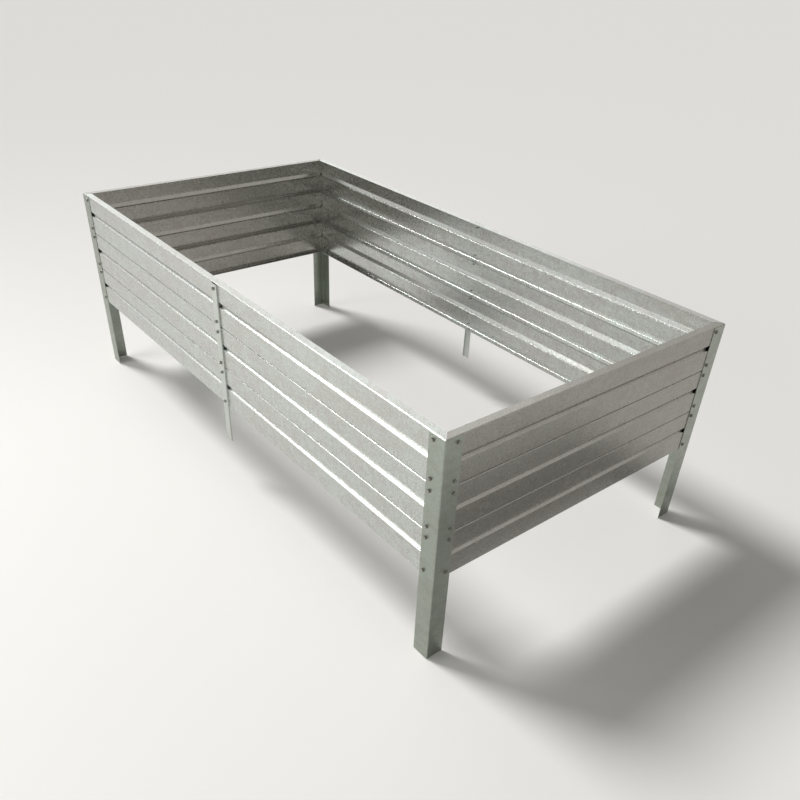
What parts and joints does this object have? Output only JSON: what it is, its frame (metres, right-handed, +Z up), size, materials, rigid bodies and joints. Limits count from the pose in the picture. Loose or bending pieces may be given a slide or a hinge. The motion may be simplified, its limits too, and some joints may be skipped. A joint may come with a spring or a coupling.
{
  "type": "raised garden bed frame",
  "caption": "Long open-bottomed raised garden bed of beaded, galvanised sheet-steel boards screwed to corner angle legs, with a short channel stake at the middle of each long side.",
  "frame": {"origin": "centre of the footprint at ground level, under the middle of the bed", "axes": "+X along the bed's length, +Y across the bed from front to back, +Z up"},
  "size_m": [1.944, 1.016, 0.645],
  "materials": {
    "board_zinc": "hot-dip galvanised sheet, semi-gloss, faint spangle",
    "leg_zinc": "hot-dip galvanised sheet, semi-matt, smooth",
    "stake_zinc": "hot-dip galvanised sheet, semi-matt, smooth",
    "screw_steel": "zinc-plated steel, dulled"
  },
  "bodies": {
    "root": {"front_left_leg": "leg_zinc", "front_right_leg": "leg_zinc", "back_right_leg": "leg_zinc", "back_left_leg": "leg_zinc", "front_board_bottom": "board_zinc", "front_board_middle": "board_zinc", "front_board_top": "board_zinc", "right_board_bottom": "board_zinc", "right_board_middle": "board_zinc", "right_board_top": "board_zinc", "back_board_bottom": "board_zinc", "back_board_middle": "board_zinc", "back_board_top": "board_zinc", "left_board_bottom": "board_zinc", "left_board_middle": "board_zinc", "left_board_top": "board_zinc", "front_stake": "stake_zinc", "back_stake": "stake_zinc", "front_stake_screws": "screw_steel", "back_stake_screws": "screw_steel", "front_left_leg_screws_front": "screw_steel", "front_right_leg_screws_front": "screw_steel", "front_right_leg_screws_right": "screw_steel", "back_right_leg_screws_right": "screw_steel", "back_right_leg_screws_back": "screw_steel", "back_left_leg_screws_back": "screw_steel", "back_left_leg_screws_left": "screw_steel", "front_left_leg_screws_left": "screw_steel"}
  },
  "joints": []
}
